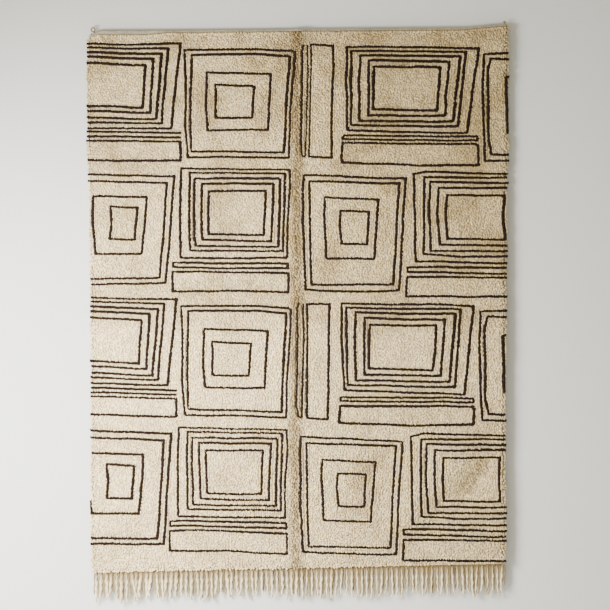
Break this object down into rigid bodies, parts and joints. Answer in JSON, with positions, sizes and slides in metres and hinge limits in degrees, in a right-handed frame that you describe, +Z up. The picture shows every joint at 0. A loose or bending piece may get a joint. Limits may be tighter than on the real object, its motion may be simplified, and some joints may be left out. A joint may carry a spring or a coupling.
{
  "type": "hand-knotted wool rug, hung",
  "caption": "Cream wool pile rug hung from its top edge, with dark nested squares and bars in thin lines and a cotton fringe along its bottom edge.",
  "frame": {"origin": "middle of the top edge, in the plane of the cloth's back", "axes": "+X to the right along the top edge, +Z up, pile face towards -Y"},
  "size_m": [1.5468, 0.0373, 2.1334],
  "materials": {
    "pile": "undyed cream wool pile with dark brown lines",
    "fringe": "twisted natural cotton warp ends",
    "heading_yarn": "twisted yarn, darker natural"
  },
  "bodies": {
    "root": {"rug_cloth": "pile", "bottom_fringe": "fringe", "corner_loop": "heading_yarn", "corner_knot": "heading_yarn"}
  },
  "joints": []
}
